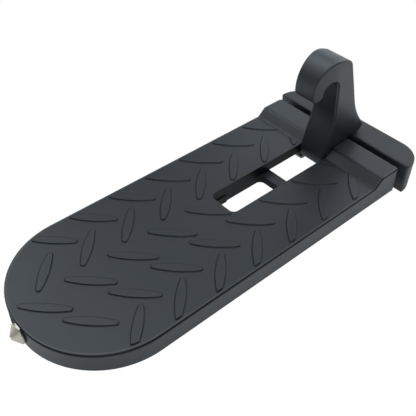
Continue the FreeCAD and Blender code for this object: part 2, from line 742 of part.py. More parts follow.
def breaker_tip():
    """Hardened tip: a shank in the boss, a short collar and a blunt cone."""
    shank_start = vec(-TIP_BASE_X, 0, -TIP_DROP)
    shank_length = TIP_STANDOFF + TIP_SHANK_LENGTH - BLIND_HOLE_SPARE
    shank = cylinder(TIP_SHANK_RADIUS, shank_length, shank_start, ALONG_X)
    back = vec(-1, 0, 0)
    collar = cylinder(TIP_RADIUS, TIP_COLLAR, shank_start, back)
    cone_start = vec(-TIP_BASE_X - TIP_COLLAR, 0, -TIP_DROP)
    cone = Part.makeCone(TIP_RADIUS, TIP_POINT_RADIUS, TIP_LENGTH - TIP_COLLAR, cone_start, back)
    return shank.fuse([collar, cone]).removeSplitter()


def set_screw_x():
    """Where along the shank the set screw bears."""
    return -PLATE_END + WALL + SET_SCREW_OFFSET


def set_screw_hole():
    """Hole from below into the shank's hole."""
    depth = PLATE_DEPTH - TIP_DROP
    return cylinder(SET_SCREW_RADIUS, depth, vec(set_screw_x(), 0, PLATE_FLOOR), UP)


def tip_set_screw():
    """Headless screw that locks the breaker's shank."""
    floor = PLATE_FLOOR + SET_SCREW_INSET
    length = PLATE_DEPTH - TIP_DROP - TIP_SHANK_RADIUS - SET_SCREW_INSET
    body = cylinder(SET_SCREW_RADIUS, length, vec(set_screw_x(), 0, floor), UP)
    recess = hexagon_recess(set_screw_x(), 0, floor, SET_SCREW_DRIVE_RADIUS, SET_SCREW_DRIVE_DEPTH)
    return body.cut(recess)


def save(name, shape):
    """Check a sub-part, move it to the part's own frame and write it."""
    shape = shape.copy()
    shape.translate(ORIGIN * -1)
    if len(shape.Solids) != 1 or not shape.isValid():
        raise ValueError(name + " is not one valid solid")
    shape.Solids[0].exportStep("parts/" + name + ".step")
    bb = shape.optimalBoundingBox(False)
    low = (round(bb.XMin, 1), round(bb.YMin, 1), round(bb.ZMin, 1))
    high = (round(bb.XMax, 1), round(bb.YMax, 1), round(bb.ZMax, 1))
    print(f"{name:24s} {shape.Volume / 1000:8.3f} cm3 from {low} to {high}")


def main():
    """Build and write every sub-part."""
    save("tread_plate", tread_plate())
    save("hook", hook())
    save("hinge_pin", hinge_pin())
    save("rubber_bumper", rubber_bumper())
    save("breaker_tip", breaker_tip())
    save("tip_set_screw", tip_set_screw())
    paired = {
        "friction_washer": friction_washer(),
        "pin_keeper": pin_keeper(),
        "keeper_screw": keeper_screw(),
    }
    for name, shape in paired.items():
        save(name + "_left", shape)
        save(name + "_right", mirrored(shape))
    for number, y in enumerate(bumper_screw_places(), start=1):
        save(f"bumper_screw_{number}", bumper_screw(y))
        save(f"bumper_washer_{number}", bumper_washer(y))


main()
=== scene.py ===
import logging
from dataclasses import dataclass, field, replace
from enum import Enum
from functools import reduce
from math import cos, pi, radians, sin

import bmesh
import bpy
import numpy as np
from mathutils import Matrix, Vector


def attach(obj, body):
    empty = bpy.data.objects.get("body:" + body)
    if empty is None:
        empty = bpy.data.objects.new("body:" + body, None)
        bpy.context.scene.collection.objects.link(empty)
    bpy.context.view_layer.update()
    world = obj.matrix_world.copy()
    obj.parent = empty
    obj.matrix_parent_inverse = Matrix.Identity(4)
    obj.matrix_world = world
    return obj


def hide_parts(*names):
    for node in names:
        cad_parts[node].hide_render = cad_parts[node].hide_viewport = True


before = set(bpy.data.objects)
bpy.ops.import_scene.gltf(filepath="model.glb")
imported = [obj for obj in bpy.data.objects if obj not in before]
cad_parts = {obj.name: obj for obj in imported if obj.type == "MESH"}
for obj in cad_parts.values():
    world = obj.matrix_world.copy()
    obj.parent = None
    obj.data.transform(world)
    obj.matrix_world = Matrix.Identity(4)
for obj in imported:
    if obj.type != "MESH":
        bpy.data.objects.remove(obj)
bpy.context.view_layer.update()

log = logging.getLogger("door_step")

Colour = tuple[float, float, float]
Point = tuple[float, float, float]
Socket = bpy.types.NodeSocket
Value = Socket | float | Colour
MM_PER_M = 1000.0
MERGE_DISTANCE = 1e-6  # points that lie nearer than this, in metres, are one
SLIVER_LENGTH = 1e-7  # edges shorter than this, in metres, are dissolved
BEVEL_SAMPLES = 6
MIX_SHARE, MIX_FIRST, MIX_SECOND, MIX_RESULT = 0, 6, 7, 2  # the colour sockets of a Mix node, by place
PLAIN_WHITE = (1.0, 1.0, 1.0)


class Body(Enum):
    """The step's two bodies, which a piece can ride on."""

    PLATE = "plate"
    HOOK = "hook"


class Tree:
    """A thin wrapper that adds and joins shader nodes in one node tree."""

    def __init__(self, tree: bpy.types.NodeTree) -> None:
        """Keeps the material's or the group's node tree."""
        self.tree = tree

    def add(self, kind: str, settings: dict[str, object] | None = None, **sockets: Value) -> bpy.types.Node:
        """Adds a node, sets its options, and fills or joins its inputs.

        Args:
            kind: the node's type, without the leading word ShaderNode.
            settings: the node's own options by name.
            **sockets: inputs by name, with _ for a blank; a socket is joined, any other value is set.

        Returns:
            The new node.
        """
        node = self.tree.nodes.new("ShaderNode" + kind)
        for option, value in (settings or {}).items():
            setattr(node, option, value)
        for label, value in sockets.items():
            self.feed(node.inputs[label.replace("_", " ")], value)
        return node

    def feed(self, socket: Socket, value: Value) -> None:
        """Joins another node's output to a socket, or sets the socket to a plain value.

        Args:
            socket: the input.
            value: the output to join, or a number or a colour.
        """
        if isinstance(value, Socket):
            self.tree.links.new(value, socket)
        elif isinstance(value, tuple) and len(value) == 3 and socket.type == "RGBA":
            socket.default_value = (*value, 1.0)
        else:
            socket.default_value = value

    def math(self, operation: str, first: Value, *others: Value, clamp: bool = False) -> Socket:
        """Adds a Math node.

        Args:
            operation: the node's operation.
            first: its first value.
            *others: its other values, as many as the operation takes.
            clamp: whether the result is held between 0 and 1.

        Returns:
            The node's output.
        """
        node = self.add("Math", {"operation": operation, "use_clamp": clamp})
        for socket, value in zip(node.inputs, (first, *others)):
            self.feed(socket, value)
        return node.outputs[0]

    def chain(self, operation: str, *values: Value) -> Socket:
        """Joins several values, one after another, by the same Math operation and returns the last output."""
        return reduce(lambda joined, value: self.math(operation, joined, value), values)

    def length(self, first: Value, second: Value) -> Socket:
        """Returns the length of the flat vector that two values make."""
        squares = self.math("ADD", self.math("MULTIPLY", first, first), self.math("MULTIPLY", second, second))
        return self.math("SQRT", squares)

    def rise(self, upper: Value, lower: Value, gain: Value) -> Socket:
        """Returns gain times (upper - lower), held between 0 and 1."""
        return self.math("MULTIPLY", self.math("SUBTRACT", upper, lower), gain, clamp=True)

    def peak(self, value: Value, centre: Value, half: Value, gain: Value = 1.0) -> Socket:
        """Returns gain times (1 - the distance of value from centre / half), held between 0 and 1."""
        share = self.math("DIVIDE", self.math("ABSOLUTE", self.math("SUBTRACT", value, centre)), half)
        return self.rise(1.0, share, gain)

    def blend(self, share: Value, first: Value, second: Value) -> Socket:
        """Adds a colour Mix node.

        Args:
            share: how much of the second colour shows, from 0 to 1.
            first: the colour at share 0.
            second: the colour at share 1.

        Returns:
            The mixed colour's socket.
        """
        node = self.add("Mix", {"data_type": "RGBA"})
        for place, value in ((MIX_SHARE, share), (MIX_FIRST, first), (MIX_SECOND, second)):
            self.feed(node.inputs[place], value)
        return node.outputs[MIX_RESULT]


class Effect(Enum):
    """The shader node groups that several finishes share."""

    EDGE = "rounded_edge"
    GRAIN = "fine_grain"
    DRIFT = "tone_drift"
    LUG_CREASE_SHADE = "lug_crease_shade"
    RIM_LINE = "rim_line"
    SLOT_SHADE = "slot_shade"
    HOOK_LIGHT_AND_SHADE = "hook_light_and_shade"


class Group(Tree):
    """The tree of a new shader node group with named inputs and outputs."""

    def __init__(self, effect: Effect, numbers: dict[str, float], outputs: dict[str, str],
                 placed: bool = True) -> None:
        """Makes the group and its sockets.

        Args:
            effect: the effect that it draws, which gives its name.
            numbers: for each number that it takes, its name and usual value.
            outputs: for each output its name and socket type.
            placed: whether it also takes the place on the piece, in metres, as Place.
        """
        super().__init__(bpy.data.node_groups.new(effect.value, "ShaderNodeTree"))
        if placed:
            self.socket("Place", "INPUT", "Vector")
        for name, value in numbers.items():
            self.socket(name, "INPUT", "Float").default_value = value
        for name, kind in outputs.items():
            self.socket(name, "OUTPUT", kind)
        self.start = self.tree.nodes.new("NodeGroupInput")
        self.end = self.tree.nodes.new("NodeGroupOutput")

    def socket(self, name: str, way: str, kind: str) -> bpy.types.NodeTreeInterfaceSocket:
        """Adds a named socket to the group and returns it."""
        return self.tree.interface.new_socket(name, in_out=way, socket_type="NodeSocket" + kind)

    def take(self, name: str) -> Socket:
        """Returns one of the group's inputs, to be used inside it."""
        return self.start.outputs[name]

    def give(self, name: str, value: Value) -> None:
        """Joins a value to one of the group's outputs."""
        self.feed(self.end.inputs[name], value)

    def place(self) -> tuple[Socket, Socket, Socket]:
        """Splits the group's Place.

        Returns:
            The place in millimetres: x from the middle of the plate's round end, y across the plate and z up.
        """
        split = self.add("SeparateXYZ", Vector=self.take("Place"))
        x, y, z = (self.math("MULTIPLY", split.outputs[axis], MM_PER_M) for axis in "XYZ")
        return self.math("ADD", x, PATTERN.middle), y, z

    def normal(self) -> bpy.types.Node:
        """Returns a node that splits the surface's normal into X, Y and Z."""
        return self.add("SeparateXYZ", Vector=self.add("NewGeometry").outputs["Normal"])


def make_edge_group() -> bpy.types.NodeTree:
    """Rounds the shading of sharp edges and gives their mask, which the finishes use to paint a highlight on edges.

    The normal is averaged over a small ball round each point. The mark is one minus the cosine between that normal
    and the face's own, scaled by Gain, so it is 0 on a flat face and rises to 1 on an edge.

    Returns:
        The node group, with outputs Normal and Edge.
    """
    desk = Group(Effect.EDGE, {"Radius": 0.0004, "Gain": 6.0}, {"Normal": "Vector", "Edge": "Float"}, placed=False)
    soft = desk.add("Bevel", {"samples": BEVEL_SAMPLES}, Radius=desk.take("Radius"))
    match = desk.add("VectorMath", {"operation": "DOT_PRODUCT"})
    desk.feed(match.inputs[0], soft.outputs["Normal"])
    desk.feed(match.inputs[1], desk.add("NewGeometry").outputs["Normal"])
    desk.give("Edge", desk.rise(1.0, match.outputs["Value"], desk.take("Gain")))
    desk.give("Normal", soft.outputs["Normal"])
    return desk.tree


def make_grain_group() -> bpy.types.NodeTree:
    """The fine orange-peel of a sprayed or moulded face.

    The height is a broad noise plus Fine times a noise of Ratio times its frequency.

    Returns:
        The node group, with output Height.
    """
    desk = Group(Effect.GRAIN, {"Scale": 1500.0, "Fine": 0.5, "Ratio": 3.1}, {"Height": "Float"})
    place, scale = desk.take("Place"), desk.take("Scale")
    broad = desk.add("TexNoise", Vector=place, Scale=scale, Detail=2.0)
    fine = desk.add("TexNoise", Vector=place, Scale=desk.math("MULTIPLY", scale, desk.take("Ratio")), Detail=1.0)
    share = desk.math("MULTIPLY", fine.outputs["Fac"], desk.take("Fine"))
    desk.give("Height", desk.math("ADD", broad.outputs["Fac"], share))
    return desk.tree


def make_drift_group() -> bpy.types.NodeTree:
    """Slow changes of tone over a surface.

    The value is a soft noise of Scale, stretched about Middle by Contrast and held between 0 and 1.

    Returns:
        The node group, with output Value.
    """
    desk = Group(Effect.DRIFT, {"Scale": 40.0, "Contrast": 1.5, "Middle": 0.5}, {"Value": "Float"})
    soft = desk.add("TexNoise", Vector=desk.take("Place"), Scale=desk.take("Scale"), Detail=3.0)
    offset = desk.math("SUBTRACT", soft.outputs["Fac"], desk.take("Middle"))
    wide = desk.math("MULTIPLY", offset, desk.take("Contrast"))
    desk.give("Value", desk.math("ADD", wide, desk.take("Middle"), clamp=True))
    return desk.tree


@dataclass(frozen=True)
class LugRow:
    """One row of lugs along the plate, in millimetres from the middle of the plate's round end.

    Side is the row's distance from the middle plane, first the place of its first lug, and way the sign of the
    lugs' slant.
    """

    side: float
    first: float
    way: int


@dataclass(frozen=True)
class TreadPattern:
    """The sizes of the lug pattern at the lugs' feet and of the plate round it, in millimetres.

    Middle is the distance of the round end's middle from the origin, and no_lug a distance that stands for a
    place with no lug.
    """

    middle: float = 60.7
    face: float = 12.6
    pitch: float = 21.5
    half_length: float = 11.05
    half_width: float = 2.25
    end_round: float = 1.15
    half_plate: float = 40.0
    rim: float = 38.0
    slot_start: float = 65.5
    slot_half: float = 9.0
    ramp: float = 128.4
    ramp_foot: float = 129.4
    ramp_run: float = 4.5
    ramp_rise: float = 4.0
    no_lug: float = 100.0
    rows: tuple[LugRow, ...] = (
        LugRow(30.9, -5.2, -1), LugRow(17.2, -17.4, 1), LugRow(0.3, -27.2, -1),
        LugRow(-17.0, -17.4, -1), LugRow(-30.9, -5.2, 1),
    )

    @property
    def side_radius(self) -> float:
        """The radius of a lug's long arcs, which touch its end arcs."""
        run = (self.half_length - self.end_round) ** 2 + self.half_width ** 2 - self.end_round ** 2
        return run / (2 * (self.half_width - self.end_round))


PATTERN = TreadPattern()


def lug_distance(desk: Tree, x: Socket, y: Socket, row: LugRow) -> Socket:
    """How far a point lies outside the outlines of one row's lugs, in millimetres, and less than 0 inside.

    The point is moved to the nearest lug's middle and turned along it, to u and v. Beside the lug the distance is
    that to the arc's centre less the arc's radius, and beyond its ends that to the end arc's centre less its
    radius. Before the row's first lug no_lug is added.

    Args:
        desk: the group's tree.
        x: the place along the plate.
        y: the place across it.
        row: the row.

    Returns:
        The distance's socket.
    """
    pattern, diagonal = PATTERN, 1 / 2 ** 0.5
    along = desk.math("DIVIDE", desk.math("SUBTRACT", x, row.first), pattern.pitch)
    count = desk.math("ROUND", along)
    near_x = desk.math("MULTIPLY", desk.math("SUBTRACT", along, count), pattern.pitch * diagonal)
    near_y = desk.math("MULTIPLY", desk.math("SUBTRACT", y, row.side), diagonal)
    if row.way < 0:
        u, v = desk.math("SUBTRACT", near_x, near_y), desk.math("ADD", near_x, near_y)
    else:
        u, v = desk.math("ADD", near_x, near_y), desk.math("SUBTRACT", near_y, near_x)
    u, v = desk.math("ABSOLUTE", u), desk.math("ABSOLUTE", v)
    sunk = pattern.side_radius - pattern.half_width
    deep_v = desk.math("ADD", v, sunk)
    beside = desk.math("SUBTRACT", desk.length(u, deep_v), pattern.side_radius)
    end = pattern.half_length - pattern.end_round
    beyond = desk.math("SUBTRACT", desk.length(desk.math("SUBTRACT", u, end), v), pattern.end_round)
    past = desk.math("GREATER_THAN", desk.math("MULTIPLY", u, sunk / end), deep_v)
    lens = desk.math("ADD", desk.math("MULTIPLY", past, desk.math("SUBTRACT", beyond, beside)), beside)
    missing = desk.math("LESS_THAN", count, 0.0)
    return desk.math("ADD", lens, desk.math("MULTIPLY", missing, pattern.no_lug))


def make_lug_crease_shade_group() -> bpy.types.NodeTree:
    """The fine line of painted shade in the crease just outside each lug's foot.

    The distance to the lugs is the least over the rows, and no less than the distance out of the field that the
    lugs are trimmed to. Line is highest on the curve that lies Outward of that edge and falls to 0 at Width from it:
    Gain times one less the share of Width, held to 1. It is 0 lower than Depth under the tread face. Over Fade run
    beyond Fade start it loses the share Fade.

    Returns:
        The node group, with output Line.
    """
    pattern = PATTERN
    desk = Group(
        Effect.LUG_CREASE_SHADE,
        {"Width": 0.44, "Outward": 0.08, "Gain": 1.6, "Depth": 0.2, "Fade": 0.6, "Fade start": 40.0, "Fade run": 70.0},
        {"Line": "Float"},
    )
    x, y, z = desk.place()
    gap = desk.chain("MINIMUM", *(lug_distance(desk, x, y, row) for row in pattern.rows))
    wide = desk.math("ABSOLUTE", y)
    rim = desk.math("SUBTRACT", desk.length(desk.math("MINIMUM", x, 0.0), wide), pattern.rim)
    beside_slot = desk.math("SUBTRACT", pattern.slot_half, wide)
    before_slot = desk.math("SUBTRACT", x, pattern.slot_start)
    slot = desk.math("MINIMUM", beside_slot, before_slot)
    gap = desk.chain("MAXIMUM", gap, rim, slot, desk.math("SUBTRACT", x, pattern.ramp))
    line = desk.peak(gap, desk.take("Outward"), desk.take("Width"), desk.take("Gain"))
    on_face = desk.math("LESS_THAN", desk.math("SUBTRACT", pattern.face, z), desk.take("Depth"))
    past_start = desk.math("SUBTRACT", x, desk.take("Fade start"))
    fade = desk.math("DIVIDE", past_start, desk.take("Fade run"), clamp=True)
    left = desk.math("SUBTRACT", 1.0, desk.math("MULTIPLY", fade, desk.take("Fade")))
    desk.give("Line", desk.chain("MULTIPLY", line, left, on_face))
    return desk.tree


def make_rim_line_group() -> bpy.types.NodeTree:
    """The painted shade line and the painted highlight line along the rim, and the mask of the ramp.

    The ramp's rise is taken off the height, so that the platform counts as level with the tread face. Line is 1
    between Low and High and fades towards each of them, at the rates Low gain and High gain. It is 0 on faces whose
    normal's Z is over Lean. Glint is 1 at the distance Inside from the plate's outline and falls to 0 at Half width
    from there. It shows only at the tread face's height, give or take Level. Ramp is 0 farther than Ramp half from
    the line that lies Ramp middle beyond the ramp's foot, rises to 1 nearer to it at the rate Ramp gain, and is 0
    lower than Ramp depth under the tread face. Lengths are in millimetres.

    Returns:
        The node group, with outputs Line, Glint and Ramp.
    """
    desk = Group(
        Effect.RIM_LINE,
        {"Low": 11.2, "Low gain": 1.6, "High": 12.56, "High gain": 8.0, "Lean": 0.93, "Inside": 0.9,
         "Half width": 0.4, "Level": 0.1, "Ramp middle": 2.6, "Ramp half": 3.9, "Ramp gain": 1.25, "Ramp depth": 0.3},
        {"Line": "Float", "Glint": "Float", "Ramp": "Float"},
    )
    x, y, z = desk.place()
    past_foot = desk.math("SUBTRACT", x, PATTERN.ramp_foot)
    from_ramp = desk.math("ABSOLUTE", desk.math("SUBTRACT", past_foot, desk.take("Ramp middle")))
    on_ramp = desk.rise(desk.take("Ramp half"), from_ramp, desk.take("Ramp gain"))
    over = desk.math("LESS_THAN", desk.math("SUBTRACT", PATTERN.face, z), desk.take("Ramp depth"))
    desk.give("Ramp", desk.math("MULTIPLY", on_ramp, over))
    up = desk.math("DIVIDE", past_foot, PATTERN.ramp_run, clamp=True)
    height = desk.math("SUBTRACT", z, desk.math("MULTIPLY", up, PATTERN.ramp_rise))
    out = desk.length(desk.math("MINIMUM", x, 0.0), y)
    glint = desk.peak(desk.math("SUBTRACT", PATTERN.half_plate, out), desk.take("Inside"), desk.take("Half width"))
    level = desk.math("COMPARE", height, PATTERN.face, desk.take("Level"))
    desk.give("Glint", desk.math("MULTIPLY", glint, level))
    above = desk.rise(desk.take("High"), height, desk.take("High gain"))
    below = desk.rise(height, desk.take("Low"), desk.take("Low gain"))
    steep = desk.math("LESS_THAN", desk.normal().outputs["Z"], desk.take("Lean"))
    desk.give("Line", desk.chain("MULTIPLY", above, below, steep))
    return desk.tree


def make_slot_shade_group() -> bpy.types.NodeTree:
    """The dark steep faces inside the slot.

    Shade is 1 on faces whose normal's Z is under Steep, either way, between the slot's sides, at Half width from the
    middle plane. It rises from 0 at Depth under the tread face, at the rate Gain, and starts at Before outside the
    slot's outer end. Lengths are in millimetres.

    Returns:
        The node group, with output Shade.
    """
    desk = Group(
        Effect.SLOT_SHADE,
        {"Half width": 9.3, "Depth": 0.3, "Gain": 1.5, "Before": 0.4, "Steep": 0.5},
        {"Shade": "Float"},
    )
    x, y, z = desk.place()
    deep = desk.rise(desk.math("SUBTRACT", PATTERN.face, z), desk.take("Depth"), desk.take("Gain"))
    between = desk.math("LESS_THAN", desk.math("ABSOLUTE", y), desk.take("Half width"))
    past = desk.math("LESS_THAN", desk.math("SUBTRACT", PATTERN.slot_start, x), desk.take("Before"))
    steep = desk.math("LESS_THAN", desk.math("ABSOLUTE", desk.normal().outputs["Z"]), desk.take("Steep"))
    desk.give("Shade", desk.chain("MULTIPLY", between, past, steep, deep))
    return desk.tree


def make_hook_light_and_shade_group() -> bpy.types.NodeTree:
    """The painted highlight beside the hook's long edges, the painted highlight on its crown, and the painted shade on
    its stem and crest.

    Glint is 1 at the distance Side from the middle plane and falls to 0 at Half width from there. It shows on faces
    whose normal's Y is under Across, either way, and rises from the height Low at the rate Low gain. Shade is 1 on
    faces whose normal's X is under Front and that lie past Stem, and falls to 0 at the height Top at the rate Top
    gain. Crown is 1 on faces whose normal's Z is Crown lean, falls to 0 at Crown half from there, and rises from
    the height Crown foot at the rate Crown gain. Over that height, Shade also rises on faces whose normal's Z is over
    Crest lean, at the rate Crest gain. Lengths are in millimetres, and Stem is from the middle of the round end.

    Returns:
        The node group, with outputs Glint, Shade and Crown.
    """
    desk = Group(
        Effect.HOOK_LIGHT_AND_SHADE,
        {"Side": 6.75, "Half width": 0.6, "Across": 0.6, "Low": 30.0, "Low gain": 0.12,
         "Front": -0.5, "Stem": 126.2, "Top": 52.0, "Top gain": 0.15,
         "Crown lean": 0.96, "Crown half": 0.11, "Crown foot": 56.0, "Crown gain": 0.25,
         "Crest lean": 0.985, "Crest gain": 70.0},
        {"Glint": "Float", "Shade": "Float", "Crown": "Float"},
    )
    x, y, z = desk.place()
    normal = desk.normal().outputs
    glint = desk.peak(desk.math("ABSOLUTE", y), desk.take("Side"), desk.take("Half width"))
    across = desk.math("LESS_THAN", desk.math("ABSOLUTE", normal["Y"]), desk.take("Across"))
    high = desk.rise(z, desk.take("Low"), desk.take("Low gain"))
    desk.give("Glint", desk.chain("MULTIPLY", glint, across, high))
    front = desk.math("LESS_THAN", normal["X"], desk.take("Front"))
    back = desk.math("GREATER_THAN", x, desk.take("Stem"))
    low = desk.rise(desk.take("Top"), z, desk.take("Top gain"))
    stem = desk.chain("MULTIPLY", front, back, low)
    tall = desk.rise(z, desk.take("Crown foot"), desk.take("Crown gain"))
    crown = desk.peak(normal["Z"], desk.take("Crown lean"), desk.take("Crown half"))
    desk.give("Crown", desk.math("MULTIPLY", crown, tall))
    level = desk.rise(normal["Z"], desk.take("Crest lean"), desk.take("Crest gain"))
    desk.give("Shade", desk.math("MAXIMUM", stem, desk.math("MULTIPLY", level, tall)))
    return desk.tree


GROUP_MAKERS = {
    Effect.EDGE: make_edge_group,
    Effect.GRAIN: make_grain_group,
    Effect.DRIFT: make_drift_group,
    Effect.LUG_CREASE_SHADE: make_lug_crease_shade_group,
    Effect.RIM_LINE: make_rim_line_group,
    Effect.SLOT_SHADE: make_slot_shade_group,
    Effect.HOOK_LIGHT_AND_SHADE: make_hook_light_and_shade_group,
}


class Effects:
    """Makes each shared node group once and places it in materials."""

    def __init__(self) -> None:
        """Starts with no group made."""
        self.made: dict[Effect, bpy.types.NodeTree] = {}

    def place(self, desk: Tree, effect: Effect, **sockets: Value) -> bpy.types.Node:
        """Places a shared group in a material.

        Args:
            desk: the material's tree.
            effect: which group.
            **sockets: the group's inputs by name.

        Returns:
            The group node.
        """
        if effect not in self.made:
            self.made[effect] = GROUP_MAKERS[effect]()
        return desk.add("Group", {"node_tree": self.made[effect]}, **sockets)


@dataclass(frozen=True)
class PaintedLight:
    """Painted shade and painted highlights that a finish draws by the place on the piece."""

    # light is the colour of the painted highlights and dark that of the painted shade
    light: Colour = (0.060, 0.066, 0.070)
    dark: Colour = (0.002, 0.002, 0.002)

    def masks(self, desk: Tree, effects: Effects, place: Socket) -> tuple[Socket, Socket]:
        """Adds the painted shade and highlights to a material; each kind has its own.

        Args:
            desk: the material's tree.
            effects: the maker of the shared node groups.
            place: the Object coordinates.

        Returns:
            The masks of the painted shade and of the painted highlights.
        """
        raise NotImplementedError

    def edge_radius(self, desk: Tree, effects: Effects, place: Socket, radius: float) -> Value:
        """Returns the radius that edges are shaded with, here the same all over."""
        return radius


@dataclass(frozen=True)
class TreadPaintedLight(PaintedLight):
    """The strengths of the tread plate's painted shade and highlights, and how much softer the ramp's edges are
    shaded, in metres.
    """

    # strengths of the painted shade lines round the lugs and on the rim, of the painted highlight along the rim, and
    # of the painted shade in the slot
    lug_crease_shade: float = 0.38
    rim_line: float = 0.7
    rim_glint: float = 0.7
    slot_shade: float = 0.7
    ramp_radius: float = 0.0012

    def masks(self, desk: Tree, effects: Effects, place: Socket) -> tuple[Socket, Socket]:
        """Adds the painted shade lines round the lugs and along the rim, the painted highlight along the rim and the
        painted shade in the slot.

        Args:
            desk: the material's tree.
            effects: the maker of the shared node groups.
            place: the Object coordinates.

        Returns:
            The masks of the painted shade and of the painted highlights.
        """
        lug = effects.place(desk, Effect.LUG_CREASE_SHADE, Place=place)
        rim = effects.place(desk, Effect.RIM_LINE, Place=place)
        slot = effects.place(desk, Effect.SLOT_SHADE, Place=place)
        dark = desk.chain(
            "MAXIMUM",
            desk.math("MULTIPLY", lug.outputs["Line"], self.lug_crease_shade),
            desk.math("MULTIPLY", rim.outputs["Line"], self.rim_line),
            desk.math("MULTIPLY", slot.outputs["Shade"], self.slot_shade),
        )
        return dark, desk.math("MULTIPLY", rim.outputs["Glint"], self.rim_glint)

    def edge_radius(self, desk: Tree, effects: Effects, place: Socket, radius: float) -> Value:
        """Returns the radius that edges are shaded with, larger on the ramp."""
        ramp = effects.place(desk, Effect.RIM_LINE, Place=place).outputs["Ramp"]
        return desk.math("ADD", desk.math("MULTIPLY", ramp, self.ramp_radius), radius)


@dataclass(frozen=True)
class HookPaintedLight(PaintedLight):
    """The strengths of the hook's painted shade and highlights."""

    # the lighter colour of the hook's painted highlights
    light: Colour = (0.10, 0.11, 0.115)
    glint: float = 1.0
    shade: float = 0.16
    crown: float = 0.5

    def masks(self, desk: Tree, effects: Effects, place: Socket) -> tuple[Socket, Socket]:
        """Adds the painted shade on the stem and crest, and the painted highlights along its long edges and on its
        top.

        Args:
            desk: the material's tree.
            effects: the maker of the shared node groups.
            place: the Object coordinates.

        Returns:
            The masks of the painted shade and of the painted highlights.
        """
        hook = effects.place(desk, Effect.HOOK_LIGHT_AND_SHADE, Place=place)
        glint = desk.math("MULTIPLY", hook.outputs["Glint"], self.glint)
        crown = desk.math("MULTIPLY", hook.outputs["Crown"], self.crown)
        return desk.math("MULTIPLY", hook.outputs["Shade"], self.shade), desk.math("MAXIMUM", glint, crown)


@dataclass(frozen=True)
class Finish:
    """One surface finish, with tones that drift, a fine grain, edges painted lighter as a highlight, and perhaps
    painted shade and highlights.
    """

    name: str
    base: Colour
    deep: Colour
    # edge is the lighter colour painted on edges as a highlight
    edge: Colour
    roughness: float
    roughness_spread: float = 0.06
    edge_highlight_share: float = 0.5
    edge_radius: float = 0.0003
    edge_gain: float = 5.0
    grain_scale: float = 1400.0
    grain_fine: float = 0.5
    grain_depth: float = 0.00001
    grain_strength: float = 0.25
    drift_scale: float = 35.0
    metallic: float = 0.0
    specular: float = 0.5
    painted_light: PaintedLight | None = None

    def build(self, effects: Effects) -> bpy.types.Material:
        """Makes the finish's material.

        Args:
            effects: the maker of the shared node groups.

        Returns:
            The material, with a Principled shader fed by the shared groups.
        """
        material = bpy.data.materials.new(self.name)
        material.use_nodes = True
        desk = Tree(material.node_tree)
        shader = material.node_tree.nodes["Principled BSDF"]
        place = desk.add("TexCoord").outputs["Object"]
        radius, metallic = self.edge_radius, self.metallic
        if self.painted_light:
            radius = self.painted_light.edge_radius(desk, effects, place, radius)
        edge = effects.place(desk, Effect.EDGE, Radius=radius, Gain=self.edge_gain)
        drift = effects.place(desk, Effect.DRIFT, Place=place, Scale=self.drift_scale)
        grain = effects.place(desk, Effect.GRAIN, Place=place, Scale=self.grain_scale, Fine=self.grain_fine)
        tone = desk.blend(drift.outputs["Value"], self.base, self.deep)
        # edges are painted in the lighter edge colour, a painted highlight
        edge_highlight = desk.math("MULTIPLY", edge.outputs["Edge"], self.edge_highlight_share)
        tone = desk.blend(edge_highlight, tone, self.edge)
        # painted highlights and painted shade, drawn by the place on the piece
        if self.painted_light:
            dark, light = self.painted_light.masks(desk, effects, place)
            tone = desk.blend(light, tone, self.painted_light.light)
            tone = desk.blend(dark, tone, self.painted_light.dark)
            metallic = dark  # where shade is painted, the surface becomes a metal of a near-black colour, which reflects next to nothing
        desk.feed(shader.inputs["Base Color"], tone)
        desk.feed(shader.inputs["Metallic"], metallic)
        spread = desk.math("MULTIPLY", drift.outputs["Value"], self.roughness_spread)
        desk.feed(shader.inputs["Roughness"], desk.math("ADD", spread, self.roughness))
        bump = desk.add("Bump", Strength=self.grain_strength, Distance=self.grain_depth,
                        Height=grain.outputs["Height"], Normal=edge.outputs["Normal"])
        desk.feed(shader.inputs["Normal"], bump.outputs["Normal"])
        desk.feed(shader.inputs["Specular IOR Level"], self.specular)
        return material


COAT = Finish("black_powder_coat", (0.013, 0.016, 0.018), (0.010, 0.012, 0.014), (0.020, 0.023, 0.025), 0.40)
TREAD_COAT = replace(COAT, name="black_tread_coat", painted_light=TreadPaintedLight())
HOOK_COAT = replace(COAT, name="black_hook_coat", painted_light=HookPaintedLight())
RUBBER = Finish("black_rubber", (0.020, 0.023, 0.025), (0.016, 0.018, 0.020), (0.028, 0.031, 0.034), 0.50,
                grain_scale=900.0)
GROUND = Finish("ground_tip_steel", (0.52, 0.47, 0.40), (0.42, 0.38, 0.31), (0.68, 0.64, 0.57), 0.34, metallic=1.0)
ZINC = Finish("zinc_steel", (0.30, 0.30, 0.31), (0.22, 0.22, 0.23), (0.45, 0.45, 0.46), 0.38, metallic=1.0)
POLYMER = Finish("washer_polymer", (0.020, 0.020, 0.021), (0.014, 0.014, 0.015), (0.05, 0.05, 0.05), 0.6)

NODE_FINISHES = {
    TREAD_COAT: ("tread_plate",),
    HOOK_COAT: ("hook",),
    RUBBER: ("rubber_bumper",),
    GROUND: ("breaker_tip",),
    ZINC: ("hinge_pin", "pin_keeper_left", "pin_keeper_right", "keeper_screw_left", "keeper_screw_right",
           "bumper_screw_1", "bumper_screw_2", "bumper_screw_3", "bumper_washer_1", "bumper_washer_2",
           "bumper_washer_3", "tip_set_screw"),
    POLYMER: ("friction_washer_left", "friction_washer_right"),
}


@dataclass
class Dresser:
    """Gives every CAD node its finish."""

    effects: Effects
    materials: dict[str, bpy.types.Material] = field(default_factory=dict)

    def material(self, finish: Finish) -> bpy.types.Material:
        """Makes a finish's material at its first use.

        Args:
            finish: the finish.

        Returns:
            Its material.
        """
        if finish.name not in self.materials:
            self.materials[finish.name] = finish.build(self.effects)
        return self.materials[finish.name]

    def dress(self) -> None:
        """Puts each node's finish in all its material slots."""
        for finish, nodes in NODE_FINISHES.items():
            for node in nodes:
                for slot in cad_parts[node].material_slots:
                    slot.material = self.material(finish)
                log.info("%s dressed in %s", node, finish.name)


